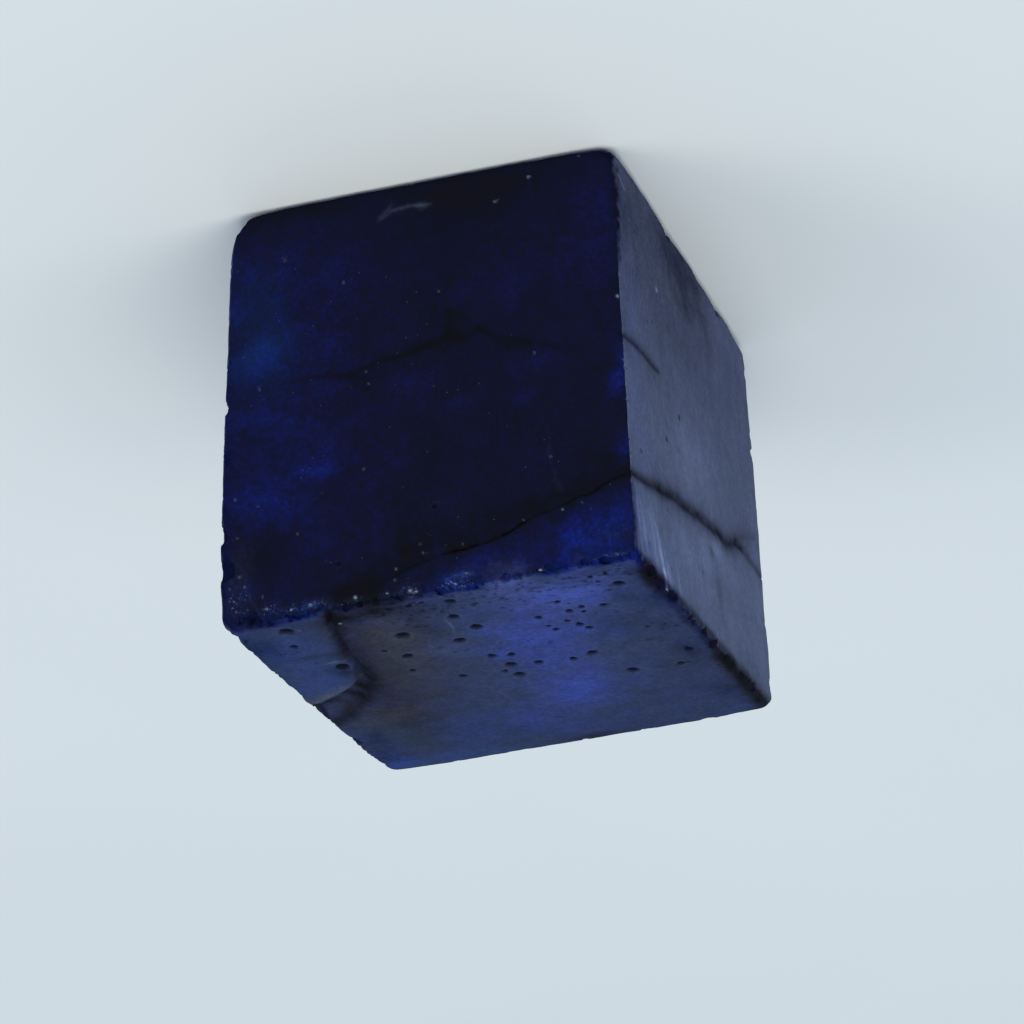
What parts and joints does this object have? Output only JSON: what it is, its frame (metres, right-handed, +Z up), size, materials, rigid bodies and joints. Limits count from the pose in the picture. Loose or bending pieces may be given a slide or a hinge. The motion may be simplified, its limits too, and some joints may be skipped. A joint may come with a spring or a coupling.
{
  "type": "rough sapphire",
  "caption": "Unpolished dark blue sapphire sawn to a near-cubic block, with worn and chipped edges, a fracture round it and a pitted top.",
  "frame": {"origin": "middle of the flat face that the stone rests on", "axes": "+Z up from the rest face to the pitted top, -Y out of the dark front face, -X out of the hazy left face; the longest side runs along Y and the shortest along X"},
  "size_m": [0.0161, 0.0181, 0.0166],
  "materials": {
    "sapphire": "sawn and unpolished: satin dark blue body with a grey-blue ground haze, brown stain along the fractures"
  },
  "bodies": {
    "root": {"rough_sapphire": "sapphire"}
  },
  "joints": []
}
